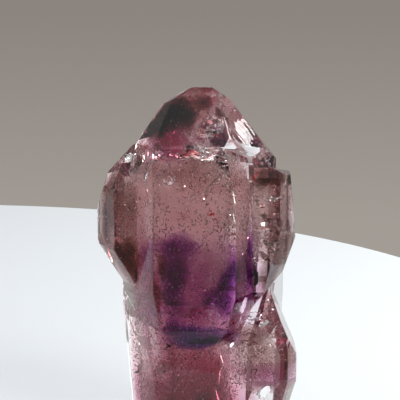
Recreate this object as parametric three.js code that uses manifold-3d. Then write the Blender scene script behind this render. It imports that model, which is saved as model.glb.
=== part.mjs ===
// Sceptre amethyst: a broad quartz head of several crystals that grew parallel to each
// other over a slightly narrower stem, with one small crystal at the foot of the head.
// The whole is one grown piece, cut off flat at the bottom. Millimetres, +Z up, front = -Y.

import * as THREE from "three";
import { ConvexGeometry } from "three/addons/geometries/ConvexGeometry.js";
import { mergeVertices } from "three/addons/utils/BufferGeometryUtils.js";
import Module from "manifold-3d";

const wasm = await Module();
wasm.setup();

// Quartz form: six upright walls 60 degrees apart, each under a rhombohedron face whose
// outward direction stands 38.2 degrees above the horizontal.
const WALL_AZIMUTH = {
  front: -90,
  frontRight: -30,
  backRight: 30,
  back: 90,
  backLeft: 150,
  frontLeft: -150,
};
const RHOMB_TILT = 38.2;

// Growth layers: every layer of a crystal stands a little proud of the one before and is a
// little shorter at both ends, which leaves ledges on the walls.
const LAYER_PROUD = 0.14;
const LAYER_SHORTER = 1.7;

// A crystal's outline is given by the places of its front and back walls and of the edges
// at their left and right ends. "caps" are the heights where the upper faces start on the
// walls, "feet" the heights where the lower faces start, with "footTilt" where a lower face
// isn't a plain rhombohedron face. "flanks" are faces of other slopes: azimuth, tilt and a
// point on each. The head's crystals come first, the middle one before its neighbours.
const MIDDLE = {
  front: -9.0,
  frontEdges: [-6.4, 4.9],
  back: 7.5,
  backEdges: [-5.5, 6.9],
  caps: { front: 45.4, frontRight: 45.6, backRight: 42.4, back: 39.5, frontLeft: 45.5 },
  feet: { front: 20.1, frontRight: 20.8, backRight: 19, back: 16, backLeft: 18, frontLeft: 21 },
  footTilt: { frontLeft: 46, frontRight: 46 },
  flanks: [
    [150, 24, [-4.8, -3.0, 51.0]],
    [180, 60, [-1.4, -3.2, 52.8]],
    [0, 36.5, [5.9, -2.4, 48.7]],
    [-90, -3, [0, -9.0, 23.7]],
    [-30, -14, [4.9, -9.0, 24.4]],
    [-150, -8, [-6.4, -9.0, 25.5]],
  ],
};
const LEFT = {
  front: -5.1,
  frontEdges: [-11.8, 2],
  back: 5.6,
  backEdges: [-10.6, 2],
  caps: { front: 38.5, frontLeft: 39.2, backLeft: 39.2, back: 37 },
  feet: { front: 26.2, back: 29 },
  flanks: [
    [180, 42, [-13.3, 0, 40.1]],
    [180, 17, [-13.6, 0, 38.0]],
    [-150, -28, [-11.8, -5.1, 30.4]],
    [150, -30, [-14.2, -0.8, 31]],
  ],
};
const RIGHT = {
  front: -4.8,
  frontEdges: [-1, 11.1],
  back: 6.2,
  backEdges: [-1, 9.6],
  caps: { front: 40.6, frontRight: 41.4, backRight: 41, back: 38 },
  feet: { front: 24.4, back: 25 },
  flanks: [
    [0, 63, [12.7, 0, 40.5]],
    [60, 75, [12.4, -3.9, 41.6]],
    [0, 5, [13.4, 0, 31.5]],
    [-32, -13, [11.1, -4.8, 32.7]],
    [0, -20, [13.4, 0, 31.3]],
    [-10, -40, [11.7, 0, 26.4]],
  ],
};
const REAR_LEFT = {
  front: -2,
  frontEdges: [-4, 3],
  back: 8.4,
  backEdges: [-6.4, 0.6],
  caps: { back: 35.6, backLeft: 37.9, backRight: 34.6 },
  feet: { back: 20.5, backLeft: 24, backRight: 19.5 },
  layers: 2,
};
const REAR_RIGHT = {
  front: -2,
  frontEdges: [-1, 6],
  back: 7.9,
  backEdges: [2.6, 7.2],
  caps: { back: 31, backLeft: 30.2, backRight: 32.6 },
  feet: { back: 23.5, backLeft: 23, backRight: 25.5 },
  layers: 2,
};

// The stem leans in a little on its left side and ends in the flat cut at the bottom. A
// flat rib runs down its back.
const CUT = [0, -90, [0, 0, 0]];
const STEM = {
  front: -6.1,
  frontEdges: [-7.2, 5.8],
  back: 5.6,
  backEdges: [-7.7, 11.2],
  caps: { front: 30, frontRight: 30, backRight: 30, back: 30, backLeft: 30, frontLeft: 30 },
  flanks: [
    [180, -4, [-11.0, 0, 24]],
    [-150, -4, [-11.0, 0.2, 24]],
    [150, -4, [-11.0, 0.2, 24]],
    [0, -1.5, [11.9, 0, 22]],
    [30, -3, [11.9, 4.4, 22]],
    CUT,
  ],
};
const STEM_RIB = {
  front: 0,
  frontEdges: [-2, 3],
  back: 6.3,
  backEdges: [-3.6, 4.4],
  caps: { back: 16.5, backLeft: 18, backRight: 15 },
  flanks: [CUT],
};

// The small crystal stands in front of the stem on the right, its lower faces running back
// into the stem. Its left wall is turned, so that it meets the stem in a slanted seam.
const SMALL = {
  front: -9.8,
  frontEdges: [3.0, 12.1],
  back: 3,
  backEdges: [2, 10.5],
  caps: { front: 19.2, frontRight: 19.6 },
  feet: { front: 13.1, frontRight: 13.1 },
  footTilt: { front: 20, frontRight: 20 },
  flanks: [
    [-128, 0, [7.6, -9.8, 0]],
    [-128, -7, [7.6, -9.8, 13.1]],
    [0, 0, [13.4, 0, 0]],
    [-135, 50, [5.6, -8.2, 18.0]],
    [0, 25, [12.1, -7, 19.2]],
    [0, -15, [13.4, -7, 12.3]],
    CUT,
  ],
};

// Broken places at the upper right of the head: a shell-shaped bite, and below its lip a
// flat break in the middle crystal that ends in a ledge on the wall.
const SCAR_RADIUS = 7.5;
const SCAR_DEPTH = 1.3;
const SCAR_CENTRE = [6.8, -4.5, 46.0];
const BREAK_FACES = [
  [154, -12, [4.6, -8.9, 40.2]],
  [60, 70, [4.0, -9.0, 45.4]],
  [-120, -76, [4.9, -9.0, 40.2]],
  [60, 0, [9.2, -3.4, 41]],
  [-90, 0, [0, -12, 0]],
  [0, 0, [14, 0, 0]],
];

// Nicks in the sharp edges, each given by its middle, and chips all round the rim of the cut
const NICK_SIZE = 0.75;
const NICKS = [
  [-6.9, -9.4, 37.2],
  [5.4, -9.4, 34.4],
  [-1.7, -9.5, 45.9],
  [2.9, -9.4, 46.1],
  [-5.6, -6.8, 49.4],
  [1.6, -3.0, 53.5],
  [-12.3, -5.5, 34.1],
  [-14.9, -0.6, 34.6],
  [11.6, -5.2, 36.6],
  [13.5, -0.2, 37.9],
  [7.5, -10.2, 16.6],
  [12.6, -10.1, 18.2],
  [-1.2, 9.0, 33.2],
  [7.4, 8.2, 28.6],
];
const RIM_CHIPS = 17;
const RIM_CHIP_SIZE = 0.9;

function outward(azimuth, tilt) {
  const a = THREE.MathUtils.degToRad(azimuth);
  const t = THREE.MathUtils.degToRad(tilt);
  return new THREE.Vector3(Math.cos(a) * Math.cos(t), Math.sin(a) * Math.cos(t), Math.sin(t));
}

function face(azimuth, tilt, point) {
  const normal = outward(azimuth, tilt);
  return { normal, distance: normal.dot(new THREE.Vector3(...point)) };
}

// The point where three faces meet, or null where two of them are parallel
function meeting(a, b, c) {
  const across = new THREE.Vector3().crossVectors(b.normal, c.normal);
  const volume = a.normal.dot(across);
  if (Math.abs(volume) < 1e-4) {
    return null;
  }
  return across
    .multiplyScalar(a.distance)
    .addScaledVector(new THREE.Vector3().crossVectors(c.normal, a.normal), b.distance)
    .addScaledVector(new THREE.Vector3().crossVectors(a.normal, b.normal), c.distance)
    .divideScalar(volume);
}

// Corners of the closed shape that lies behind all the faces
function cornersOf(faces) {
  const corners = [];
  for (let i = 0; i < faces.length; i += 1) {
    for (let j = i + 1; j < faces.length; j += 1) {
      for (let k = j + 1; k < faces.length; k += 1) {
        const corner = meeting(faces[i], faces[j], faces[k]);
        const inside = corner && faces.every((f) => f.normal.dot(corner) < f.distance + 1e-6);
        if (inside && !corners.some((other) => other.distanceTo(corner) < 1e-3)) {
          corners.push(corner);
        }
      }
    }
  }
  return corners;
}

function solidFrom(geometry) {
  const bare = geometry.clone();
  bare.deleteAttribute("normal");
  bare.deleteAttribute("uv");
  const merged = mergeVertices(bare, 1e-4);
  return new wasm.Manifold(new wasm.Mesh({
    numProp: 3,
    vertProperties: new Float32Array(merged.attributes.position.array),
    triVerts: new Uint32Array(merged.index.array),
  }));
}

// The faces of one growth layer, counted from 0 for the innermost
function facesOf(crystal, layer) {
  const [frontLeftX, frontRightX] = crystal.frontEdges;
  const [backLeftX, backRightX] = crystal.backEdges;
  const foot = {
    front: [0, crystal.front],
    frontRight: [frontRightX, crystal.front],
    backRight: [backRightX, crystal.back],
    back: [0, crystal.back],
    backLeft: [backLeftX, crystal.back],
    frontLeft: [frontLeftX, crystal.front],
  };
  const shorter = layer * LAYER_SHORTER;
  const faces = (crystal.flanks ?? []).map(([azimuth, tilt, point]) => face(azimuth, tilt, point));
  for (const [name, azimuth] of Object.entries(WALL_AZIMUTH)) {
    const proud = outward(azimuth, 0).multiplyScalar(layer * LAYER_PROUD);
    const wallAt = (z) => [foot[name][0] + proud.x, foot[name][1] + proud.y, z];
    faces.push(face(azimuth, 0, wallAt(0)));
    if (crystal.caps?.[name] !== undefined) {
      faces.push(face(azimuth, RHOMB_TILT, wallAt(crystal.caps[name] - shorter)));
    }
    if (crystal.feet?.[name] !== undefined) {
      const tilt = crystal.footTilt?.[name] ?? RHOMB_TILT;
      faces.push(face(azimuth, -tilt, wallAt(crystal.feet[name] + shorter)));
    }
  }
  return faces;
}

function grow(crystal) {
  let solid = solidFrom(new ConvexGeometry(cornersOf(facesOf(crystal, 0))));
  for (let layer = 1; layer < (crystal.layers ?? 1); layer += 1) {
    solid = solid.add(solidFrom(new ConvexGeometry(cornersOf(facesOf(crystal, layer)))));
  }
  return solid;
}

function flatBreak() {
  const faces = BREAK_FACES.map(([azimuth, tilt, point]) => face(azimuth, tilt, point));
  return solidFrom(new ConvexGeometry(cornersOf(faces)));
}

function scar() {
  const bite = new THREE.SphereGeometry(SCAR_RADIUS, 44, 28);
  const away = outward(WALL_AZIMUTH.frontRight, RHOMB_TILT);
  const centre = new THREE.Vector3(...SCAR_CENTRE);
  centre.addScaledVector(away, SCAR_RADIUS - SCAR_DEPTH);
  bite.translate(centre.x, centre.y, centre.z);
  return solidFrom(bite);
}

// An angular chip, turned and stretched a little differently for each number
function chip(number, centre, size) {
  const shape = new THREE.IcosahedronGeometry(size, 0);
  shape.scale(1, 0.8 + 0.3 * Math.sin(number * 2.4), 1.3 + 0.4 * Math.cos(number * 1.7));
  shape.rotateX(number * 1.1);
  shape.rotateZ(number * 2.3);
  shape.translate(centre.x, centre.y, centre.z);
  return solidFrom(shape);
}

function nicks() {
  return NICKS.map((centre, number) => {
    const size = NICK_SIZE * (1 + 0.25 * Math.sin(number * 3.1));
    return chip(number, new THREE.Vector3(...centre), size);
  });
}

// How far a crystal reaches from the middle of the cut in a level direction
function reach(crystal, direction) {
  let near = 0;
  let far = Infinity;
  for (const { normal, distance } of facesOf(crystal, 0)) {
    const slope = normal.dot(direction);
    if (slope > 1e-6) {
      far = Math.min(far, distance / slope);
    } else if (slope < -1e-6) {
      near = Math.max(near, distance / slope);
    }
  }
  return far > near ? far : 0;
}

function rimChips() {
  const chips = [];
  for (let number = 0; number < RIM_CHIPS; number += 1) {
    const turn = (number + 0.35 * Math.sin(number * 1.9)) * (2 * Math.PI / RIM_CHIPS);
    const direction = new THREE.Vector3(Math.cos(turn), Math.sin(turn), 0);
    const rim = Math.max(...[STEM, STEM_RIB, SMALL].map((crystal) => reach(crystal, direction)));
    const size = RIM_CHIP_SIZE * (1 + 0.45 * Math.sin(number * 4.3));
    chips.push(chip(number, direction.multiplyScalar(rim + 0.15 * size), size));
  }
  return chips;
}

function crystalSolid() {
  const middle = grow(MIDDLE).subtract(flatBreak());
  const whole = [LEFT, RIGHT, REAR_LEFT, REAR_RIGHT, STEM, STEM_RIB, SMALL]
    .map(grow)
    .reduce((grown, next) => grown.add(next), middle);
  return [scar(), ...nicks(), ...rimChips()]
    .reduce((left, broken) => left.subtract(broken), whole);
}

// The origin goes to the middle of the outline, on the flat cut
function geometryOf(solid) {
  const { vertProperties, triVerts } = solid.getMesh();
  const geometry = new THREE.BufferGeometry();
  geometry.setAttribute("position", new THREE.BufferAttribute(vertProperties, 3));
  geometry.setIndex(new THREE.BufferAttribute(triVerts, 1));
  geometry.computeBoundingBox();
  const { min, max } = geometry.boundingBox;
  geometry.translate(-(min.x + max.x) / 2, -(min.y + max.y) / 2, -min.z);
  geometry.computeVertexNormals();
  return geometry;
}

const quartz = new THREE.MeshStandardMaterial({
  color: 0x8d5f78,
  roughness: 0.08,
  metalness: 0,
});
const mesh = new THREE.Mesh(geometryOf(crystalSolid()), quartz);
mesh.name = "amethyst_crystal";

const part = new THREE.Group();
part.add(mesh);

export default part;
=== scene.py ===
import math

import bmesh
import bpy
from mathutils import Euler, Matrix, Vector, noise
from mathutils.bvhtree import BVHTree


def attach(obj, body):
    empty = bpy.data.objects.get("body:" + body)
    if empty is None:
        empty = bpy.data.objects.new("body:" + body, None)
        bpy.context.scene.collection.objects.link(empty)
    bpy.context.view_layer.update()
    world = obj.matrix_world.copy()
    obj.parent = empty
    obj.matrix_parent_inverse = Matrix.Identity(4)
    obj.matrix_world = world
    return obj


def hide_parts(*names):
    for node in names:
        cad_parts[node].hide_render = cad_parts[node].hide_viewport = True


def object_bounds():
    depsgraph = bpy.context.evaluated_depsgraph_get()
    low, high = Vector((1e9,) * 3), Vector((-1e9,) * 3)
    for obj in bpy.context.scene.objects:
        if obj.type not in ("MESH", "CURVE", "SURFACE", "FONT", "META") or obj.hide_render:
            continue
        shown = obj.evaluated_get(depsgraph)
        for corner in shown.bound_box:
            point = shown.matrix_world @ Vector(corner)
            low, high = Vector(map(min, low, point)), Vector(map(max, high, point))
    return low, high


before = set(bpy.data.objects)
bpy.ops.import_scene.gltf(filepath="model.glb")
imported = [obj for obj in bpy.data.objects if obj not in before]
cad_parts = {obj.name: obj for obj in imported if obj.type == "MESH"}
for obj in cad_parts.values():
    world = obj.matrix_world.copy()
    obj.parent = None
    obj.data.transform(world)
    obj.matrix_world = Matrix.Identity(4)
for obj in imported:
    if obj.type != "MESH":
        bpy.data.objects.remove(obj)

cad_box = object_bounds()
scene = bpy.context.scene

# The table top
# The round white top that the crystal stands on, a painted disc with a rounded edge.
# Its far edge shows behind the crystal, a little above the crystal's middle on the left.
MM = 0.001
TABLE_RADIUS = 120 * MM
TABLE_DEPTH = 16 * MM
TABLE_CENTRE = Vector((-55.9 * MM, 51.2 * MM, 0))
TABLE_EDGE = 4 * MM
TABLE_STEPS = 160


def new_object(name, mesh):
    """An object of that mesh, in the scene."""
    made = bpy.data.objects.new(name, mesh)
    scene.collection.objects.link(made)
    return made


def new_material(name):
    """A material, its shader, and a function that adds a node to it."""
    material = bpy.data.materials.new(name)
    material.use_nodes = True
    nodes = material.node_tree.nodes
    return material, nodes["Principled BSDF"], nodes.new


def set_inputs(node, **values):
    """Sets a node's own sockets by their names, with _ for a space."""
    for key, value in values.items():
        node.inputs[key.replace("_", " ")].default_value = value


def lathe_disc(name, outline, centre, steps):
    """A closed body of revolution about a vertical line; the outline runs from the axis and back to it."""
    mesh = bpy.data.meshes.new(name)
    build = bmesh.new()
    first = build.verts.new(centre + Vector((0, 0, outline[0][1])))
    last = build.verts.new(centre + Vector((0, 0, outline[-1][1])))
    rings = []
    for radius, height in outline[1:-1]:
        turn = [2 * math.pi * k / steps for k in range(steps)]
        rings.append([build.verts.new(centre + Vector((radius * math.cos(t), radius * math.sin(t), height)))
                      for t in turn])
    for k in range(steps):
        after = (k + 1) % steps
        build.faces.new((first, rings[0][k], rings[0][after]))
        for inner, outer in zip(rings, rings[1:]):
            build.faces.new((inner[k], outer[k], outer[after], inner[after]))
        build.faces.new((rings[-1][k], last, rings[-1][after]))
    bmesh.ops.recalc_face_normals(build, faces=build.faces)
    for face in build.faces:
        face.smooth = True
    build.to_mesh(mesh)
    build.free()
    return new_object(name, mesh)


edge_arc = [(TABLE_RADIUS - TABLE_EDGE + TABLE_EDGE * math.sin(a), -TABLE_EDGE + TABLE_EDGE * math.cos(a))
            for a in [math.radians(step) for step in range(0, 91, 15)]]
table_outline = [(0, 0), *edge_arc, (TABLE_RADIUS, -TABLE_DEPTH), (0, -TABLE_DEPTH)]
table = lathe_disc("table_top", table_outline, TABLE_CENTRE, TABLE_STEPS)

paint, paint_shader, add = new_material("white_paint")
set_inputs(paint_shader, Base_Color=(0.62, 0.65, 0.675, 1), Roughness=0.6, IOR=1.45)
table.data.materials.append(paint)

# The crystal
# Natural quartz grown as one piece: a broad sceptre head on a slimmer stem, and a small crystal beside it.
# It is clear, glassy and faintly brown-pink. Its edges are a little worn, and a shell-shaped scar and flat
# cracks inside show where it was knocked.
QUARTZ_IOR = 1.544
SAME_PLACE = 1e-6
FLAT_ANGLE = math.radians(0.4)
SHARP_ANGLE = math.radians(12)
EDGE_WEAR = 0.08 * MM
LEAST_EDGE = 0.5 * MM
BODY_TINT = (0.60, 0.40, 0.45)
BODY_DENSITY = 8.0


def merged_copy(node):
    """The node's mesh with its loose triangles joined and its flat faces made whole."""
    build = bmesh.new()
    build.from_mesh(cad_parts[node].data)
    bmesh.ops.remove_doubles(build, verts=build.verts, dist=SAME_PLACE)
    bmesh.ops.dissolve_limit(build, angle_limit=FLAT_ANGLE, verts=build.verts, edges=build.edges)
    return build


def worn_edges(build):
    """The long, sharp edges, which are the ones that wear takes."""
    chosen = []
    for edge in build.edges:
        if len(edge.link_faces) != 2 or edge.calc_face_angle(0) < SHARP_ANGLE:
            continue
        ends = [other.calc_length() for vertex in edge.verts for other in vertex.link_edges]
        if min(ends) > LEAST_EDGE:
            chosen.append(edge)
    return chosen


# Both trees hold the solid's walls. Between two walls equally near they may choose differently, so the
# strays and the cracks keep to the first, and all that lies inside the crystal keeps to the second.
plain_build = merged_copy("amethyst_crystal")
plain_tree = BVHTree.FromBMesh(plain_build)
plain_corners = [vertex.co.copy() for vertex in plain_build.verts]
plain_shape = bpy.data.meshes.new("plain_shape")
plain_build.to_mesh(plain_shape)
plain_build.free()
body_tree = BVHTree.FromPolygons([vertex.co.copy() for vertex in plain_shape.vertices],
                                 [tuple(face.vertices) for face in plain_shape.polygons])


def height_over(point):
    """How far a point stands out of the solid; less than nothing inside it."""
    near, normal, face, distance = plain_tree.find_nearest(point)
    return distance if (point - near).dot(normal) > 0 else -distance


# Where a worn edge would stand out of the solid, the edges at that corner stay sharp.
STRAY = 0.004 * MM
TRIES = 6
kept_sharp = []
for attempt in range(TRIES):
    body_build = merged_copy("amethyst_crystal")
    chosen = [edge for edge in worn_edges(body_build)
              if not any((corner - vertex.co).length < STRAY
                         for corner in kept_sharp for vertex in edge.verts)]
    bmesh.ops.bevel(body_build, geom=chosen, offset=EDGE_WEAR, segments=2, profile=0.6,
                    affect="EDGES", clamp_overlap=False)
    strays = [vertex.co for vertex in body_build.verts if height_over(vertex.co) > STRAY]
    if not strays:
        break
    kept_sharp += [min(plain_corners, key=lambda corner: (corner - stray).length) for stray in strays]

# The scar is part of a ball. Fine ripples run over it in rings around the place of the blow.
SCAR_MIDDLE = Vector((11.39, -6.27, 49.79)) * MM
SCAR_RADIUS = 7.415 * MM
SCAR_REACH = 0.12 * MM
SCAR_CUTS = 4
BLOW = Vector((4.4, -5.5, 44.3)) * MM
RIPPLE = 0.024 * MM
RIPPLE_STEP = 0.62 * MM


def on_scar(point):
    """Whether a point lies on the round of the shell-shaped scar."""
    return abs((point - SCAR_MIDDLE).length - SCAR_RADIUS) < SCAR_REACH


scar_faces = [face for face in body_build.faces if all(on_scar(vertex.co) for vertex in face.verts)
              and face.normal.dot((SCAR_MIDDLE - face.calc_center_median()).normalized()) > 0.9]
scar_set = set(scar_faces)
inner_edges = [edge for edge in body_build.edges
               if len(edge.link_faces) == 2 and scar_set.issuperset(edge.link_faces)]
divided = bmesh.ops.subdivide_edges(body_build, edges=inner_edges, cuts=SCAR_CUTS, use_grid_fill=True)
for vertex in [item for item in divided["geom_inner"] if isinstance(item, bmesh.types.BMVert)]:
    away = (vertex.co - SCAR_MIDDLE).normalized()
    spread = (vertex.co - BLOW).length / RIPPLE_STEP
    swell = math.sin(2 * math.pi * spread + 2.5 * noise.noise(vertex.co * 420))
    swell *= 0.6 + noise.noise(vertex.co * 300)
    vertex.co = SCAR_MIDDLE + away * (SCAR_RADIUS + RIPPLE * swell)
    for face in vertex.link_faces:
        face.smooth = True
for edge in body_build.edges:
    if len(edge.link_faces) == 2 and edge.link_faces[0].smooth != edge.link_faces[1].smooth:
        edge.smooth = False

# A crack's row holds its middle in mm, its facing (compass direction, height above the level and roll, in
# degrees), its half width and half height in mm, its bend and its seed. A glint is a tiny crack.
CRACK_GAP = 0.02 * MM
CRACK_COVER = 0.12 * MM
CRACK_RINGS = 8
CRACK_STEPS = 30
GLINT_SIZE = (0.17, 0.13)
GLINT_BEND = 0.2
GLINT_RINGS = 2
GLINT_STEPS = 8
FIRST_GLINT_SEED = 60
GLINTS = [
    ((-2.9, -7.2, 32.8), (330, 16)), ((-2.8, -7.2, 31.4), (250, 48)),
    ((-5.7, -7.2, 31.3), (300, 16)), ((2.3, -7.1, 22.1), (340, 40)),
    ((2.6, -7.0, 21.7), (340, 40)), ((0.5, -7.2, 36.2), (220, -24)),
    ((-5.0, -7.4, 40.4), (320, 48)), ((-4.3, -7.4, 40.9), (250, 48)),
    ((-3.6, -7.0, 41.4), (320, 48)), ((4.6, -7.4, 36.2), (310, 16)),
    ((-0.9, -7.2, 34.1), (330, 16)), ((-4.3, -7.4, 36.2), (320, 48)),
    ((-6.7, -5.9, 36.5), (300, 24)), ((1.2, -7.2, 25.6), (310, 48)),
    ((-2.6, -4.3, 12.6), (320, 24)), ((0.5, -4.3, 11.2), (320, 16)),
    ((-3.4, -4.5, 10.5), (320, 24)), ((6.0, -6.6, 14.7), (310, 32)),
    ((10.1, -8.2, 18.1), (320, 24)), ((10.2, -2.2, 22.5), (310, 40)),
    ((10.7, -4.6, 21.9), (310, 44)), ((-9.9, -3.7, 36.8), (320, 48)),
    ((-10.4, -3.6, 38.9), (330, 40)), ((-1.6, -7.6, 40.2), (310, 24)),
    ((2.9, -6.6, 37.2), (310, 20)), ((6.9, -4.1, 34.0), (330, 40)),
    ((-7.4, -5.4, 33.4), (300, 20)),
]
CRACKS = [
    # the right crystal
    ((9.5, -3.0, 34.7), (330, 48), (1.0, 0.8), 0.15, 1),
    ((9.2, -2.8, 33.9), (312, 14), (0.40, 0.30), 0.10, 2),
    ((9.9, -3.0, 31.2), (330, 48), (1.3, 0.7), 0.15, 3),
    ((9.3, -3.0, 29.2), (328, 50), (0.9, 1.1), 0.20, 4),
    ((10.2, -1.6, 32.7), (265, 80), (2.0, 1.1), 0.08, 5),
    ((10.5, -1.6, 31.8), (275, 79), (1.8, 1.0), 0.08, 6),
    # the dark fissures and the soft white patch in front
    ((0.9, -6.4, 39.0), (200, 50), (0.9, 2.8), 0.12, 8),
    ((2.2, -6.2, 39.9), (203, 52), (0.7, 1.8), 0.12, 9),
    ((-0.9, -6.6, 38.4), (197, 46), (0.6, 1.3), 0.15, 10),
    ((3.0, -6.6, 41.0), (204, 48), (0.5, 1.2), 0.20, 11),
    ((-3.4, -6.4, 40.6), (222, 48), (0.9, 0.8), 0.30, 12),
    # the white band under the tip, and the streak, the triangle and the pale quad beside it
    ((-0.4, -7.4, 44.4), (279, 64), (1.5, 1.3), 0.02, 13),
    ((1.3, -7.2, 44.2), (262, 64), (1.4, 1.2), 0.02, 14),
    ((-2.3, -7.5, 44.3), (312, 50), (0.9, 0.8), 0.10, 48),
    ((2.5, -6.9, 44.2), (302, 54, -38), (2.6, 0.5), 0.02, 15),
    ((5.2, -4.5, 43.4), (320, 0), (0.6, 0.6), 0.15, 16),
    ((6.1, -4.9, 22.7), (0, -14), (1.6, 1.1), 0.02, 17),
    # the left strip, the left crystal and the veils of the tip
    ((-6.6, -6.0, 43.2), (285, 64), (0.50, 0.8), 0.15, 18),
    ((-6.6, -6.0, 41.2), (210, 40), (0.45, 0.9), 0.15, 19),
    ((-6.4, -6.3, 39.4), (300, 64), (0.35, 0.6), 0.15, 20),
    ((-9.9, -0.3, 42.2), (240, 66), (1.2, 1.1), 0.25, 21),
    ((1.2, -5.1, 46.4), (245, 72), (1.5, 1.1), 0.30, 22),
    ((2.2, -4.0, 47.9), (240, 72), (1.1, 0.7), 0.30, 24),
    # the bright upright edge, and the line where the small crystal meets the stem
    ((5.1, -8.05, 41.3), (310, 16), (0.07, 1.2), 0.0, 26),
    ((5.1, -8.05, 38.6), (310, 16), (0.06, 1.3), 0.0, 27),
    ((5.1, -8.05, 35.8), (311, 15), (0.05, 1.2), 0.0, 28),
    ((5.4, -5.6, 17.6), (300, 32, 28), (1.4, 0.14), 0.05, 29),
    ((3.7, -5.0, 15.0), (300, 32), (0.13, 1.1), 0.05, 30),
    ((3.2, -4.8, 12.5), (315, 24, -29), (0.13, 1.4), 0.05, 31),
    ((2.9, -4.7, 9.6), (318, 22), (0.13, 1.2), 0.05, 32),
    # the foot of the small crystal, more of the right crystal, and the line across the violet
    ((9.4, -7.1, 11.2), (325, -20), (1.5, 1.0), 0.02, 33),
    ((8.8, -2.6, 36.4), (280, 56), (0.8, 0.5), 0.10, 41),
    ((11.0, -2.0, 33.6), (330, 40), (0.6, 0.9), 0.15, 42),
    ((10.6, -2.6, 30.2), (330, 48), (0.8, 0.6), 0.10, 43),
    ((10.2, -2.4, 37.4), (300, 60), (1.2, 0.7), 0.12, 44),
    ((-0.9, -7.0, 23.6), (268, 82), (3.7, 0.9), 0.02, 45),
    ((8.2, -3.6, 20.4), (240, 62), (1.4, 0.9), 0.15, 46),
    ((9.8, -4.4, 19.2), (305, 16), (1.2, 0.5), 0.12, 47),
    # the back
    ((-5.6, 4.0, 41.0), (120, 35), (2.6, 1.8), 0.40, 35),
    ((3.0, 4.6, 37.0), (80, 55), (2.4, 1.6), 0.35, 36),
    ((6.8, 3.6, 29.0), (40, 20), (1.8, 2.4), 0.35, 37),
    ((-4.6, 3.6, 12.0), (140, 30), (2.4, 1.6), 0.30, 38),
]


def facing_turn(around, up, roll=0):
    """Turns a flat shape's face to a compass direction and a height above the level, in degrees."""
    around, up = math.radians(around), math.radians(up)
    out = Vector((math.cos(around) * math.cos(up), math.sin(around) * math.cos(up), math.sin(up)))
    return out.to_track_quat("Z", "Y").to_matrix() @ Matrix.Rotation(math.radians(roll), 3, "Z")


def crack(build, middle, facing, size, bend, seed, ring_count=CRACK_RINGS, step_count=CRACK_STEPS):
    """A thin, ragged gap in the quartz. Its two skins face into the gap, away from the quartz."""
    turned = facing_turn(*facing)
    shift = Vector((seed * 3.7, seed * 1.3, 0))

    def corner(ring, step, side):
        turn = 2 * math.pi * step / step_count
        reach = ring / ring_count
        ragged = 1 + 0.65 * noise.noise(Vector((1.4 * math.cos(turn), 1.4 * math.sin(turn), 0)) + shift)
        ragged += 0.40 * noise.noise(Vector((3.9 * math.cos(turn), 3.9 * math.sin(turn), 3)) + shift)
        across = Vector((reach * ragged * math.cos(turn), reach * ragged * math.sin(turn), 0))
        wave = bend * (0.4 * noise.noise(across * 3.1 + shift) + across.length_squared)
        flat = Vector((across.x * size[0], across.y * size[1], wave * min(size)))
        flat.z += side * CRACK_GAP / MM * math.sqrt(max(0.0, 1 - reach * reach))
        point = (turned @ flat + Vector(middle)) * MM
        near, normal, face, distance = plain_tree.find_nearest(point)
        depth = CRACK_COVER - side * CRACK_GAP
        if (point - near).dot(normal) > -depth:
            point = near - normal * depth
        return build.verts.new(point)

    rim = [corner(ring_count, step, 0) for step in range(step_count)]
    for side in (1, -1):
        rings = [[corner(0, 0, side)] * step_count]
        rings += [[corner(ring, step, side) for step in range(step_count)] for ring in range(1, ring_count)]
        rings.append(rim)
        for inner, outer in zip(rings, rings[1:]):
            for step in range(step_count):
                after = (step + 1) % step_count
                loop = [inner[step], outer[step], outer[after], inner[after]]
                loop = list(dict.fromkeys(loop))
                face = build.faces.new(loop[::-1] if side > 0 else loop)
                face.smooth = True


for facts in CRACKS:
    crack(body_build, *facts)
for number, (middle, facing) in enumerate(GLINTS):
    crack(body_build, middle, facing, GLINT_SIZE, GLINT_BEND, FIRST_GLINT_SEED + number,
          GLINT_RINGS, GLINT_STEPS)
body_mesh = bpy.data.meshes.new("crystal")
body_build.to_mesh(body_mesh)
body_build.free()
crystal = new_object("crystal", body_mesh)

quartz, quartz_shader, add = new_material("clear_quartz")
set_inputs(quartz_shader, Base_Color=(1, 1, 1, 1), Roughness=0.015, IOR=QUARTZ_IOR, Transmission_Weight=1.0)
absorb = add("ShaderNodeVolumeAbsorption")
set_inputs(absorb, Color=(*BODY_TINT, 1), Density=BODY_DENSITY)
links = quartz.node_tree.links
links.new(absorb.outputs["Volume"], quartz.node_tree.nodes["Material Output"].inputs["Volume"])
place = add("ShaderNodeTexCoord")
stretch = add("ShaderNodeMapping")
set_inputs(stretch, Scale=(60, 60, 2200))
lines = add("ShaderNodeTexNoise")
set_inputs(lines, Scale=1.0, Detail=3.0, Roughness=0.6)
ripple = add("ShaderNodeBump")
set_inputs(ripple, Strength=0.35, Distance=0.012 * MM)
links.new(place.outputs["Object"], stretch.inputs["Vector"])
links.new(stretch.outputs["Vector"], lines.inputs["Vector"])
links.new(lines.outputs["Fac"], ripple.inputs["Height"])
links.new(ripple.outputs["Normal"], quartz_shader.inputs["Normal"])
crystal.data.materials.append(quartz)
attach(crystal, "root")
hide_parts("amethyst_crystal")

# The core and the haze
# Grains too fine to see one by one, caught as the quartz grew. They tint it brown-pink from 0.7 mm inside
# its walls. From about 2 mm in they scatter light, so that the crystal glows from within.
RIM = 0.7 * MM
HAZE_DEPTH = 2.2 * MM
HAZE_PATH = 5.5 * MM
HAZE_TINT = (1.0, 0.88, 0.88)
CORE_TINT = (0.93, 0.05, 0.10)
CORE_DENSITY = 50.0
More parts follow.
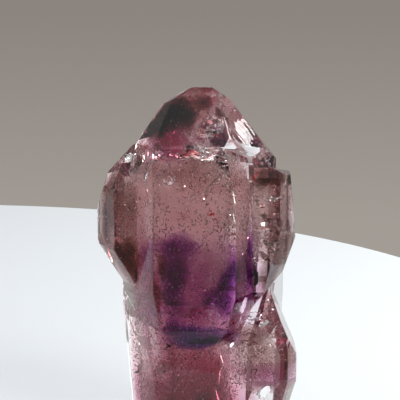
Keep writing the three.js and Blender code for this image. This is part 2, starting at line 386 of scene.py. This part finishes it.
# A lump's row holds its middle, its three radii and its turns, in mm and degrees.
CORE_LUMPS = [
    ((-1.8, -0.6, 31.8), (7.8, 8.6, 12.6), (0, 0, 0)),
    ((-3.0, -2.0, 46.4), (3.6, 3.8, 4.2), (0, 0, 0)),
    ((-10.0, 0.0, 33.0), (3.6, 5.4, 8.0), (0, 0, 0)),
    ((-2.0, -0.4, 9.0), (10.0, 7.4, 18.0), (0, 4, 0)),
    ((8.8, -4.0, 14.8), (4.0, 4.6, 4.4), (0, 0, 0)),
    ((9.8, 1.6, 34.4), (3.2, 3.6, 7.0), (0, 0, 0)),
    ((-0.4, -3.2, 38.8), (6.8, 5.6, 6.2), (0, 0, 0)),
    ((9.8, -0.8, 33.4), (2.4, 2.6, 6.6), (0, 0, 0)),
]
CORE_VOXEL = 0.4 * MM
CORE_RAGGEDNESS = 0.35
HAZE_SIZE = 0.9
HAZE_RAGGEDNESS = 0.5
PUSHES = 3
BIG_LUMP = 2.0
FINE_BALL = 5
COARSE_BALL = 3
LUMPINESS = ((0.45, 1.5), (0.34, 4.2), (0.24, 10.5))
DEEPEST_DENT = -0.55
LEAST_COVER = 0.6


def clear_shader(name, tint=(1, 1, 1), density=0.0):
    """A surface that doesn't show, around a space that takes in light of one colour."""
    material, shader, add = new_material(name)
    set_inputs(shader, Base_Color=(1, 1, 1, 1), Roughness=0.0, IOR=1.0, Transmission_Weight=1.0)
    shader.inputs["Specular IOR Level"].default_value = 0.0
    if density:
        inside = add("ShaderNodeVolumeAbsorption")
        set_inputs(inside, Color=(*tint, 1), Density=density)
        output = material.node_tree.nodes["Material Output"]
        material.node_tree.links.new(inside.outputs["Volume"], output.inputs["Volume"])
    return material


def evaluated(made):
    """The object with its modifiers taken into its mesh."""
    graph = bpy.context.evaluated_depsgraph_get()
    mesh = bpy.data.meshes.new_from_object(made.evaluated_get(graph))
    made.modifiers.clear()
    made.data = mesh
    made.data.materials.clear()
    return made


def kept_inside(point, margin):
    """The point, or the one nearest to it that lies that deep in the crystal."""
    for attempt in range(PUSHES):
        near, normal, face, distance = body_tree.find_nearest(point)
        height = (point - near).dot(normal)
        if abs(height) < 0.999 * distance:
            # Beside an edge, the wall that the point faces most squarely tells which side it is on.
            for spot, out, other, gap in body_tree.find_nearest_range(point, distance * 1.001 + 1e-7):
                if abs((point - spot).dot(out)) > abs(height):
                    near, normal, height = spot, out, (point - spot).dot(out)
        if height <= -0.99 * margin:
            break
        point = near - normal * margin
    return point


def zone_skin(name, lumps, size, margin, raggedness, voxel):
    """One closed skin around all the lumps of a zone, each drawn at that share of its size."""
    build = bmesh.new()
    for middle, radii, turn in lumps:
        turned = Euler([math.radians(angle) for angle in turn]).to_matrix()
        seed = Vector(middle) * 0.37
        finer = FINE_BALL if max(radii) > BIG_LUMP else COARSE_BALL
        made = bmesh.ops.create_icosphere(build, subdivisions=finer, radius=1)
        for vertex in made["verts"]:
            away = vertex.co.copy()
            lump = sum(height * noise.noise(away * pitch + seed) for height, pitch in LUMPINESS)
            lump = max(DEEPEST_DENT, lump * raggedness)
            local = Vector([part * radius for part, radius in zip(away, radii)]) * (1 + lump) * size
            vertex.co = kept_inside((turned @ local + Vector(middle)) * MM, margin)
    mesh = bpy.data.meshes.new(name)
    build.to_mesh(mesh)
    build.free()
    made = new_object(name, mesh)
    remesh = made.modifiers.new("skin", "REMESH")
    remesh.mode = "VOXEL"
    remesh.voxel_size = voxel
    smooth = made.modifiers.new("relax", "SMOOTH")
    smooth.factor = 0.5
    smooth.iterations = 2
    made = evaluated(made)
    for vertex in made.data.vertices:
        vertex.co = kept_inside(vertex.co, margin * LEAST_COVER)
    return made


core = zone_skin("core", CORE_LUMPS, 1.0, RIM, CORE_RAGGEDNESS, CORE_VOXEL)
core.data.materials.append(clear_shader("tinted_core", CORE_TINT, CORE_DENSITY))
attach(core, "root")

haze = zone_skin("haze", CORE_LUMPS, HAZE_SIZE, HAZE_DEPTH, HAZE_RAGGEDNESS, CORE_VOXEL)
haze_material = clear_shader("haze")
scatter = haze_material.node_tree.nodes.new("ShaderNodeVolumeScatter")
set_inputs(scatter, Color=(*HAZE_TINT, 1), Density=1 / HAZE_PATH, Anisotropy=0.3)
haze_output = haze_material.node_tree.nodes["Material Output"]
haze_material.node_tree.links.new(scatter.outputs["Volume"], haze_output.inputs["Volume"])
haze.data.materials.append(haze_material)
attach(haze, "root")

# The colour zones
# Iron coloured the quartz violet as it grew and stained it brown near the walls; dark smoke tints it near
# the tip. On the left of the tip that dark tint is also a painted dark reflection.
# Each zone is three skins inside each other, so that its colour fades out at its edge.
SKINS = (1.0, 0.74, 0.48)
ZONE_VOXEL = 0.28 * MM
ZONE_RAGGEDNESS = 1.5
ZONE_RIM = 0.35
ZONE_STEP = 0.15
ZONES = {
    "violet": {"tint": (0.52, 0.0, 0.60), "density": 1250.0, "lumps": [
        ((-2.9, -6.0, 27.6), (1.9, 2.2, 4.4), (0, 8, 0)),
        ((-2.6, -6.5, 31.6), (2.7, 1.5, 1.9), (0, 0, 0)),
        ((4.4, -6.4, 27.2), (1.0, 1.8, 3.8), (0, 38, 0)),
        ((3.9, -6.2, 24.0), (1.7, 1.6, 2.2), (0, 0, 0)),
        ((2.2, -6.4, 24.2), (1.8, 1.4, 1.6), (0, 0, 0)),
        ((7.1, -5.4, 26.8), (1.3, 1.8, 3.2), (0, -8, 0)),
        ((-7.2, -6.0, 30.2), (1.2, 1.5, 2.6), (0, 0, 0)),
        ((2.6, 4.6, 27.0), (3.8, 2.4, 4.2), (0, -20, 0)),
        ((-2.6, -7.4, 23.4), (1.5, 0.8, 1.6), (0, 0, 0)),
        ((-3.4, -6.6, 20.2), (1.5, 1.6, 1.5), (0, 0, 0)),
    ]},
    "indigo": {"tint": (0.34, 0.0, 0.76), "density": 1150.0, "lumps": [
        ((0.6, -6.8, 18.6), (5.0, 2.4, 1.8), (0, 0, 0)),
        ((0.4, -4.8, 18.2), (3.8, 2.4, 1.3), (0, 0, 0)),
    ]},
    "lilac": {"tint": (0.66, 0.0, 0.52), "density": 200.0, "lumps": [
        ((0.0, -1.5, 24.0), (8.6, 7.5, 7.6), (0, 0, 0)),
        ((9.9, -5.6, 13.4), (3.4, 2.8, 1.6), (0, 0, 0)),
        ((10.4, -6.6, 13.0), (2.8, 1.6, 0.7), (0, 0, 0)),
        ((-3.4, -4.0, 46.4), (3.2, 3.0, 3.0), (0, 0, 0)),
    ]},
    "iron_brown": {"tint": (0.50, 0.08, 0.04), "density": 1700.0, "lumps": [
        ((-9.5, -2.8, 29.0), (2.2, 1.5, 3.2), (0, 0, 0)),
        ((-9.0, -3.2, 27.6), (1.6, 1.2, 2.6), (0, -14, 0)),
        ((-4.7, -7.2, 29.0), (0.9, 0.7, 2.0), (0, 0, 0)),
        ((9.9, -2.8, 41.0), (2.4, 1.5, 1.6), (0, 0, 0)),
        ((-9.0, 3.8, 33.0), (1.6, 1.6, 3.4), (0, 0, 0)),
        ((1.2, -4.4, 7.6), (1.5, 0.8, 2.8), (0, 0, 0)),
        ((0.7, -2.6, 50.2), (1.3, 0.9, 1.4), (0, 20, 0)),
        ((10.8, -2.4, 26.8), (0.9, 1.2, 2.2), (0, 30, 0)),
    ]},
    # Dark smoke in the quartz; the lumps on the left of the tip are also a painted dark reflection.
    "smoke_and_dark_reflection": {"tint": (0.34, 0.05, 0.07), "density": 2000.0, "lumps": [
        ((-3.2, -3.0, 49.2), (2.6, 2.2, 2.8), (0, 28, 0)),
        ((-5.0, -4.4, 47.0), (1.3, 1.5, 1.9), (0, 38, 0)),
        ((-1.6, -3.4, 48.8), (1.7, 1.6, 2.0), (0, 0, 0)),
        ((-3.9, -7.4, 44.5), (1.5, 0.4, 0.5), (0, 0, 0)),
        ((2.2, -6.4, 18.3), (3.0, 1.6, 0.9), (0, 0, 0)),
        ((3.0, -3.4, 49.0), (0.4, 1.0, 1.2), (0, -15, 0)),
    ]},
    "wine": {"tint": (0.74, 0.0, 0.26), "density": 800.0, "lumps": [
        ((-3.4, -5.8, 46.0), (2.2, 1.4, 1.6), (0, 0, 0)),
        ((-4.2, -7.5, 43.9), (1.6, 0.5, 0.5), (0, 0, 0)),
        ((1.4, -1.8, 50.6), (1.2, 1.4, 1.5), (0, 0, 0)),
        ((-5.6, -6.4, 25.0), (0.9, 1.3, 2.6), (0, 0, 0)),
    ]},
    "stem_wine": {"tint": (0.66, 0.0, 0.26), "density": 480.0, "lumps": [
        ((-0.8, -1.0, 6.0), (8.0, 6.0, 13.0), (0, 4, 0)),
    ]},
    "tawny": {"tint": (0.44, 0.24, 0.18), "density": 230.0, "lumps": [
        ((-10.4, -0.6, 37.6), (2.6, 4.0, 4.8), (0, 0, 0)),
        ((9.8, -2.4, 25.4), (3.0, 2.0, 2.6), (0, 0, 0)),
        ((9.2, -4.6, 14.6), (3.0, 2.6, 2.4), (0, 0, 0)),
        ((8.8, -0.8, 40.0), (2.6, 2.6, 2.2), (0, 0, 0)),
        ((8.4, -4.4, 17.2), (2.6, 2.6, 2.2), (0, 0, 0)),
        ((0.0, -5.0, 41.6), (5.2, 2.6, 2.6), (0, 0, 0)),
    ]},
    "smoke_rim": {"tint": (0.50, 0.38, 0.36), "density": 800.0, "lumps": [
        ((11.5, -0.8, 35.0), (0.9, 2.6, 7.6), (0, 0, -30)),
        ((10.6, -1.6, 28.0), (1.1, 2.4, 3.6), (0, 20, -30)),
        ((-9.8, -1.5, 9.0), (0.8, 2.8, 11.0), (0, 0, 0)),
    ]},
    "tip_brown": {"tint": (0.55, 0.14, 0.15), "density": 620.0, "lumps": [
        ((-0.6, -1.8, 50.8), (2.6, 2.0, 1.7), (0, 0, 0)),
        ((-2.0, -4.8, 48.4), (2.8, 1.6, 2.0), (0, 0, 0)),
    ]},
    "mottle": {"tint": (0.56, 0.10, 0.18), "density": 420.0, "lumps": []},
}
# Ninety small mottles, anywhere in the crystal.
MOTTLES = 90
for number in range(MOTTLES):
    drawn = [noise.cell_vector(Vector((number, 0.5, 0.5 + 7 * part))) for part in range(2)]
    middle = (drawn[0].x * 17 - 9.5, drawn[0].y * 13 - 7.6, drawn[0].z * 40 + 6)
    radii = tuple(0.4 + 1.1 * share * share for share in drawn[1])
    ZONES["mottle"]["lumps"].append((middle, radii, (number * 40, number * 25, 0)))
skins = {}
for zone, facts in ZONES.items():
    shade = clear_shader(zone, facts["tint"], facts["density"] / len(SKINS))
    for order, size in enumerate(SKINS):
        margin = (ZONE_RIM + ZONE_STEP * order) * MM
        skin = zone_skin(f"{zone}_{order + 1}", facts["lumps"], size, margin, ZONE_RAGGEDNESS, ZONE_VOXEL)
        skins[skin.name] = skin
        skin.data.materials.append(shade)
        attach(skin, "root")

# The grains
# Platelets and bowed needles of red-brown and black iron ore, bright bubbles and tiny flat gaps, caught in
# the quartz as it grew. They lie every way round, near the walls, thick in some patches and thin in others.


def grain_tree(curled):
    """Fills a closed mesh with small prisms or bowed needles, patch by patch, each turned another way."""
    tree = bpy.data.node_groups.new("grains", "GeometryNodeTree")
    face = tree.interface
    face.new_socket("Space", in_out="INPUT", socket_type="NodeSocketGeometry")
    for label in ("Per Cubic Metre", "Depth", "Least", "Most", "Thickness", "Patch", "Cover"):
        face.new_socket(label, in_out="INPUT", socket_type="NodeSocketFloat")
    face.new_socket("Seed", in_out="INPUT", socket_type="NodeSocketInt")
    face.new_socket("Sides", in_out="INPUT", socket_type="NodeSocketInt")
    face.new_socket("Finish", in_out="INPUT", socket_type="NodeSocketMaterial")
    face.new_socket("Grains", in_out="OUTPUT", socket_type="NodeSocketGeometry")
    node = tree.nodes.new
    link = tree.links.new
    given = node("NodeGroupInput").outputs
    fog = node("GeometryNodeMeshToVolume")
    fog.resolution_mode = "VOXEL_SIZE"
    set_inputs(fog, Voxel_Size=0.5 * MM, Interior_Band_Width=30 * MM, Density=1.0)
    points = node("GeometryNodeDistributePointsInVolume")
    points.mode = "DENSITY_RANDOM"
    where = node("GeometryNodeInputPosition")
    patch = node("ShaderNodeTexNoise")
    set_inputs(patch, Detail=2.0)
    sparse = node("FunctionNodeCompare")
    sparse.operation = "GREATER_THAN"
    thin_out = node("GeometryNodeDeleteGeometry")
    wall = node("GeometryNodeProximity")
    too_deep = node("FunctionNodeCompare")
    too_deep.operation = "GREATER_THAN"
    keep_near = node("GeometryNodeDeleteGeometry")
    if curled:
        bow = node("GeometryNodeCurveArc")
        set_inputs(bow, Radius=1.0, Sweep_Angle=math.radians(135))
        ring = node("GeometryNodeCurvePrimitiveCircle")
        set_inputs(ring, Resolution=3)
        grain = node("GeometryNodeCurveToMesh")
        set_inputs(grain, Fill_Caps=True)
        link(given["Sides"], bow.inputs["Resolution"])
        link(given["Thickness"], ring.inputs["Radius"])
        link(bow.outputs["Curve"], grain.inputs["Curve"])
        link(ring.outputs["Curve"], grain.inputs["Profile Curve"])
    else:
        grain = node("GeometryNodeMeshCylinder")
        set_inputs(grain, Radius=1.0)
        link(given["Sides"], grain.inputs["Vertices"])
        link(given["Thickness"], grain.inputs["Depth"])
    turn = node("FunctionNodeRandomValue")
    turn.data_type = "FLOAT_VECTOR"
    turn.inputs["Max"].default_value = (2 * math.pi,) * 3
    size = node("FunctionNodeRandomValue")
    copies = node("GeometryNodeInstanceOnPoints")
    real = node("GeometryNodeRealizeInstances")
    finish = node("GeometryNodeSetMaterial")
    for source, sink in (
            (given["Space"], fog.inputs["Mesh"]),
            (fog.outputs["Volume"], points.inputs["Volume"]),
            (given["Per Cubic Metre"], points.inputs["Density"]),
            (given["Seed"], points.inputs["Seed"]),
            (points.outputs["Points"], thin_out.inputs["Geometry"]),
            (where.outputs[0], patch.inputs["Vector"]),
            (given["Patch"], patch.inputs["Scale"]),
            (patch.outputs["Fac"], sparse.inputs["A"]),
            (given["Cover"], sparse.inputs["B"]),
            (sparse.outputs["Result"], thin_out.inputs["Selection"]),
            (given["Space"], wall.inputs[0]),
            (wall.outputs["Distance"], too_deep.inputs["A"]),
            (given["Depth"], too_deep.inputs["B"]),
            (thin_out.outputs["Geometry"], keep_near.inputs["Geometry"]),
            (too_deep.outputs["Result"], keep_near.inputs["Selection"]),
            (given["Least"], size.inputs[2]),
            (given["Most"], size.inputs[3]),
            (given["Seed"], size.inputs["Seed"]),
            (given["Seed"], turn.inputs["Seed"]),
            (keep_near.outputs["Geometry"], copies.inputs["Points"]),
            (grain.outputs["Mesh"], copies.inputs["Instance"]),
            (turn.outputs[0], copies.inputs["Rotation"]),
            (size.outputs[1], copies.inputs["Scale"]),
            (copies.outputs["Instances"], real.inputs["Geometry"]),
            (real.outputs["Geometry"], finish.inputs["Geometry"]),
            (given["Finish"], finish.inputs["Material"]),
            (finish.outputs["Geometry"], node("NodeGroupOutput").inputs["Grains"])):
        link(source, sink)
    return tree


def grains(name, space, material, tree, **given):
    """The grains of one kind that fill a space, as one mesh."""
    made = new_object(name, space.data.copy())
    fill = made.modifiers.new("fill", "NODES")
    fill.node_group = tree
    sockets = {item.name: item.identifier for item in tree.interface.items_tree if item.in_out == "INPUT"}
    for key, value in {**given, "Finish": material}.items():
        fill[sockets[key.replace("_", " ")]] = value
    made = evaluated(made)
    made.data.materials.append(material)
    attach(made, "root")
    return made


DARK_END = 0.36
PALE_END = 0.66


def speckled(name, colours, roughness, metallic=0.0):
    """A grain's finish; its colour differs from grain to grain."""
    material, shader, add = new_material(name)
    set_inputs(shader, Roughness=roughness, Metallic=metallic)
    spot = add("ShaderNodeTexCoord")
    differ = add("ShaderNodeTexNoise")
    set_inputs(differ, Scale=1900.0, Detail=0.0)
    blend = add("ShaderNodeValToRGB")
    ends = ((DARK_END, colours[0]), (PALE_END, colours[-1]))
    for element, (position, colour) in zip(blend.color_ramp.elements, ends):
        element.position = position
        element.color = (*colour, 1)
    for number, colour in enumerate(colours[1:-1]):
        position = DARK_END + (PALE_END - DARK_END) * (number + 1) / (len(colours) - 1)
        blend.color_ramp.elements.new(position).color = (*colour, 1)
    material.node_tree.links.new(spot.outputs["Object"], differ.inputs["Vector"])
    material.node_tree.links.new(differ.outputs["Fac"], blend.inputs["Fac"])
    material.node_tree.links.new(blend.outputs["Color"], shader.inputs["Base Color"])
    return material


CUBIC_MM = MM ** 3
prisms = grain_tree(False)
curls = grain_tree(True)
iron_ore = speckled("iron_ore", [(0.02, 0.008, 0.008), (0.12, 0.02, 0.016), (0.30, 0.05, 0.03),
                                 (0.20, 0.06, 0.045)], 0.3)
rust_ore = speckled("rust_ore", [(0.10, 0.01, 0.008), (0.42, 0.05, 0.03), (0.30, 0.08, 0.03)], 0.35)
pale_grain = speckled("bubble_skin", [(0.85, 0.78, 0.78), (1.0, 0.98, 0.97)], 0.15)
mirror_grain = speckled("flat_gaps", [(0.90, 0.86, 0.86), (1.0, 0.98, 0.97)], 0.12, 1.0)
grains("platelets", core, iron_ore, prisms,
       Per_Cubic_Metre=11.0 / CUBIC_MM, Depth=1.8 * MM, Least=0.05 * MM, Most=0.15 * MM,
       Thickness=0.3, Patch=260.0, Cover=0.57, Seed=3, Sides=4)
grains("needles", core, iron_ore, curls,
       Per_Cubic_Metre=10.0 / CUBIC_MM, Depth=1.8 * MM, Least=0.10 * MM, Most=0.32 * MM,
       Thickness=0.22, Patch=240.0, Cover=0.57, Seed=8, Sides=4)
grains("bubbles", core, pale_grain, prisms,
       Per_Cubic_Metre=5.0 / CUBIC_MM, Depth=2.4 * MM, Least=0.04 * MM, Most=0.11 * MM,
       Thickness=1.4, Patch=400.0, Cover=0.55, Seed=12, Sides=4)
grains("glints", core, mirror_grain, prisms,
       Per_Cubic_Metre=6.0 / CUBIC_MM, Depth=2.0 * MM, Least=0.04 * MM, Most=0.12 * MM,
       Thickness=0.15, Patch=300.0, Cover=0.52, Seed=17, Sides=5)
grains("rust", skins["stem_wine_1"], rust_ore, prisms,
       Per_Cubic_Metre=9.0 / CUBIC_MM, Depth=1.6 * MM, Least=0.05 * MM, Most=0.14 * MM,
       Thickness=0.4, Patch=340.0, Cover=0.52, Seed=5, Sides=4)

# The red spots
# A few rosettes of thin, blood-red plates of iron ore, grown in the quartz near its walls and its tip.
# A spot's row holds its middle and its reach, in mm.
SPOT_PLATES = 9
SPOT_SIDES = 6
SPOTS = [
    ((-7.3, -6.6, 45.4), 0.45), ((-1.5, -7.5, 44.6), 0.30), ((2.8, -5.2, 46.4), 0.50),
    ((2.1, -7.2, 36.3), 0.55), ((1.9, -6.9, 36.7), 0.35), ((6.1, -6.8, 20.4), 0.60),
    ((7.9, -3.0, 40.3), 0.60), ((8.3, -3.1, 40.9), 0.45), ((-4.9, -5.6, 45.6), 0.40),
    ((-9.4, -3.4, 34.0), 0.30), ((4.4, 5.6, 38.0), 0.50), ((-3.2, 6.0, 30.0), 0.45),
]
spots_build = bmesh.new()
for number, (middle, reach) in enumerate(SPOTS):
    middle = kept_inside(Vector(middle) * MM, 1.2 * reach * MM) / MM
    for plate in range(SPOT_PLATES):
        seed = Vector((number * 5.3, plate * 2.1, 0.5))
        drift = noise.noise_vector(seed) * reach * 0.9
        lean = noise.noise_vector(seed + Vector((9, 0, 0))) * 3 * math.pi
        size = reach * (0.22 + 0.18 * abs(noise.noise(seed * 1.7)))
        turned = Matrix.Translation((middle + drift) * MM) @ Euler(lean).to_matrix().to_4x4()
        bmesh.ops.create_cone(spots_build, cap_ends=True, segments=SPOT_SIDES, radius1=size * MM,
                              radius2=size * MM, depth=0.12 * size * MM, matrix=turned)
spots_mesh = bpy.data.meshes.new("red_spots")
spots_build.to_mesh(spots_mesh)
spots_build.free()
spots = new_object("red_spots", spots_mesh)
spots.data.materials.append(speckled("blood_red_ore", [(0.45, 0.006, 0.01), (0.75, 0.02, 0.03)], 0.2))
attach(spots, "root")

# The veils
# Sheets of tiny bubbles in the quartz, left along cracks that healed, white where the light catches them.
# A sheet's row is laid out as a crack's row is.
VEIL_GRAINS = 24 / MM ** 2
VEIL_STEPS = 18
VEIL_COVER = 0.4 * MM
VEIL_EDGE = 0.95
VEILS = [
    ((0.9, -6.2, 46.6), (266, 38), (2.3, 1.7), 0.30, 31),
    ((-3.0, -6.9, 40.0), (285, 20, -35), (2.2, 0.9), 0.30, 33),
    ((-7.2, -6.6, 42.2), (240, 6), (0.8, 3.2), 0.15, 34),
    ((3.4, -6.6, 41.6), (262, 10, 25), (0.5, 1.9), 0.20, 44),
    ((9.6, -1.6, 34.6), (300, 30), (1.9, 2.6), 0.35, 35),
    ((9.8, -1.2, 30.6), (250, 50), (1.8, 1.5), 0.25, 36),
    ((1.6, -0.6, 49.6), (265, 40), (1.6, 1.6), 0.35, 37),
    ((10.2, -4.6, 17.4), (290, 50), (2.6, 1.6), 0.30, 38),
    ((2.4, -6.3, 22.6), (275, 15), (0.9, 2.6), 0.15, 39),
    ((-3.0, 4.6, 38.0), (95, 20), (3.0, 3.4), 0.30, 40),
    ((4.6, 4.6, 33.0), (60, 30), (2.6, 2.8), 0.35, 41),
    ((-11.6, 1.4, 36.0), (170, 20), (1.8, 2.6), 0.30, 42),
]


def veil_sheet(build, middle, facing, size, bend, seed):
    """An open, gently curved sheet with a ragged outline, for the bubbles to lie on."""
    turned = facing_turn(*facing)
    shift = Vector((seed * 2.9, seed * 1.7, 0))
    rows = []
    for j in range(VEIL_STEPS + 1):
        row = []
        for i in range(VEIL_STEPS + 1):
            flat = Vector((2 * i / VEIL_STEPS - 1, 2 * j / VEIL_STEPS - 1, 0))
            wave = 0.25 * noise.noise(flat * 2.2 + shift) + bend * flat.length_squared
            place = Vector((flat.x * size[0], flat.y * size[1], wave * min(size)))
            row.append(build.verts.new(kept_inside((turned @ place + Vector(middle)) * MM, VEIL_COVER)))
        rows.append(row)
    for j in range(VEIL_STEPS):
        for i in range(VEIL_STEPS):
            middle_of = Vector(((i + 0.5) / VEIL_STEPS * 2 - 1, (j + 0.5) / VEIL_STEPS * 2 - 1, 0))
            reach = middle_of.length + 0.5 * noise.noise(middle_of * 2.6 + shift)
            if reach < VEIL_EDGE:
                build.faces.new((rows[j][i], rows[j][i + 1], rows[j + 1][i + 1], rows[j + 1][i]))


def veil_tree():
    """Lays small prisms on a sheet, thick in some patches and sparse in others."""
    tree = bpy.data.node_groups.new("veil_grains", "GeometryNodeTree")
    face = tree.interface
    face.new_socket("Sheet", in_out="INPUT", socket_type="NodeSocketGeometry")
    for label in ("Per Square Metre", "Least", "Most", "Patch", "Cover"):
        face.new_socket(label, in_out="INPUT", socket_type="NodeSocketFloat")
    face.new_socket("Seed", in_out="INPUT", socket_type="NodeSocketInt")
    face.new_socket("Finish", in_out="INPUT", socket_type="NodeSocketMaterial")
    face.new_socket("Grains", in_out="OUTPUT", socket_type="NodeSocketGeometry")
    node = tree.nodes.new
    link = tree.links.new
    given = node("NodeGroupInput").outputs
    points = node("GeometryNodeDistributePointsOnFaces")
    where = node("GeometryNodeInputPosition")
    patch = node("ShaderNodeTexNoise")
    set_inputs(patch, Detail=2.0)
    sparse = node("FunctionNodeCompare")
    sparse.operation = "GREATER_THAN"
    thin_out = node("GeometryNodeDeleteGeometry")
    prism = node("GeometryNodeMeshCylinder")
    set_inputs(prism, Vertices=4, Radius=1.0, Depth=1.2)
    size = node("FunctionNodeRandomValue")
    copies = node("GeometryNodeInstanceOnPoints")
    real = node("GeometryNodeRealizeInstances")
    finish = node("GeometryNodeSetMaterial")
    for source, sink in (
            (given["Sheet"], points.inputs["Mesh"]),
            (given["Per Square Metre"], points.inputs["Density"]),
            (given["Seed"], points.inputs["Seed"]),
            (points.outputs["Points"], thin_out.inputs["Geometry"]),
            (where.outputs[0], patch.inputs["Vector"]),
            (given["Patch"], patch.inputs["Scale"]),
            (patch.outputs["Fac"], sparse.inputs["A"]),
            (given["Cover"], sparse.inputs["B"]),
            (sparse.outputs["Result"], thin_out.inputs["Selection"]),
            (given["Least"], size.inputs[2]),
            (given["Most"], size.inputs[3]),
            (given["Seed"], size.inputs["Seed"]),
            (thin_out.outputs["Geometry"], copies.inputs["Points"]),
            (prism.outputs["Mesh"], copies.inputs["Instance"]),
            (points.outputs["Rotation"], copies.inputs["Rotation"]),
            (size.outputs[1], copies.inputs["Scale"]),
            (copies.outputs["Instances"], real.inputs["Geometry"]),
            (real.outputs["Geometry"], finish.inputs["Geometry"]),
            (given["Finish"], finish.inputs["Material"]),
            (finish.outputs["Geometry"], node("NodeGroupOutput").inputs["Grains"])):
        link(source, sink)
    return tree


sheets_build = bmesh.new()
for facts in VEILS:
    veil_sheet(sheets_build, *facts)
sheets_mesh = bpy.data.meshes.new("veil_sheets")
sheets_build.to_mesh(sheets_mesh)
sheets_build.free()
sheets = new_object("veil_sheets", sheets_mesh)
grains("veils", sheets, pale_grain, veil_tree(),
       Per_Square_Metre=VEIL_GRAINS, Least=0.03 * MM, Most=0.075 * MM,
       Patch=1000.0, Cover=0.49, Seed=21)
bpy.data.objects.remove(sheets)

# The lights and the camera
# A grey-beige room with a window to the right, one in front, a paler one to the left, and soft light above.
# The camera looks down 12 degrees from 300 mm away.
CAMERA_DISTANCE = 300 * MM
CAMERA_TILT = math.radians(12)
FRAME_WIDTH = 56 * MM
SENSOR = 36.0
LOOK_AT = Vector((0.48, 0.63, 36.5)) * MM
centre = (Vector(cad_box[0]) + Vector(cad_box[1])) / 2
target = Vector((centre.x, centre.y, cad_box[0][2])) + LOOK_AT

world = bpy.data.worlds.new("room")
scene.world = world
world.use_nodes = True
world_nodes = world.node_tree.nodes
world_links = world.node_tree.links
direction = world_nodes.new("ShaderNodeTexCoord")
split = world_nodes.new("ShaderNodeSeparateXYZ")
ramp = world_nodes.new("ShaderNodeValToRGB")
height = world_nodes.new("ShaderNodeMapRange")
set_inputs(height, From_Min=-1.0, From_Max=1.0)
world_links.new(direction.outputs["Generated"], split.inputs["Vector"])
world_links.new(split.outputs["Z"], height.inputs["Value"])
world_links.new(height.outputs["Result"], ramp.inputs["Fac"])
world_links.new(ramp.outputs["Color"], world_nodes["Background"].inputs["Color"])
ROOM = ((0.0, (0.30, 0.28, 0.25)), (0.39, (0.365, 0.335, 0.305)), (0.44, (0.26, 0.23, 0.21)),
        (0.52, (0.42, 0.41, 0.39)), (0.80, (0.50, 0.50, 0.50)), (1.0, (0.60, 0.61, 0.63)))
ramp.color_ramp.elements[0].position = ROOM[0][0]
ramp.color_ramp.elements[0].color = (*ROOM[0][1], 1)
ramp.color_ramp.elements[1].position = ROOM[-1][0]
ramp.color_ramp.elements[1].color = (*ROOM[-1][1], 1)
for position, colour in ROOM[1:-1]:
    ramp.color_ramp.elements.new(position).color = (*colour, 1)
world_nodes["Background"].inputs["Strength"].default_value = 1.0


def soft_light(name, place, size, radiance, colour):
    """A large square light that looks at the crystal; radiance is its brightness as the crystal sees it."""
    data = bpy.data.lights.new(name, "AREA")
    data.shape = "RECTANGLE"
    data.size, data.size_y = size
    data.energy = radiance * math.pi * size[0] * size[1]
    data.color = colour
    made = bpy.data.objects.new(name, data)
    scene.collection.objects.link(made)
    made.location = place
    made.rotation_euler = (target - Vector(place)).to_track_quat("-Z", "Y").to_euler()
    made.visible_camera = False
    return made


soft_light("window_right", (0.29, 0.06, 0.17), (0.20, 0.20), 10.5, (1.0, 0.99, 0.97))
soft_light("window_left", (-0.50, -0.20, 0.25), (0.4, 0.4), 1.2, (0.84, 0.92, 1.0))
soft_light("window_front", (0.33, -0.47, 0.436), (0.22, 0.22), 11.0, (1.0, 0.99, 0.98))
soft_light("above", (-0.05, 0.20, 0.55), (0.35, 0.35), 2.2, (1.0, 1.0, 1.0))

lens = bpy.data.cameras.new("camera")
lens.sensor_width = SENSOR
lens.lens = SENSOR * CAMERA_DISTANCE / FRAME_WIDTH
camera = bpy.data.objects.new("camera", lens)
scene.collection.objects.link(camera)
camera.location = target + CAMERA_DISTANCE * Vector((0, -math.cos(CAMERA_TILT), math.sin(CAMERA_TILT)))
camera.rotation_euler = (math.pi / 2 - CAMERA_TILT, 0, 0)
lens.clip_start = 1 * MM
scene.camera = camera

scene.view_settings.view_transform = "Standard"
scene.cycles.max_bounces = 48
scene.cycles.transmission_bounces = 48
scene.cycles.glossy_bounces = 12
scene.cycles.transparent_max_bounces = 24
scene.cycles.volume_bounces = 6
scene.cycles.sample_clamp_indirect = 8.0
scene.cycles.use_denoising = True
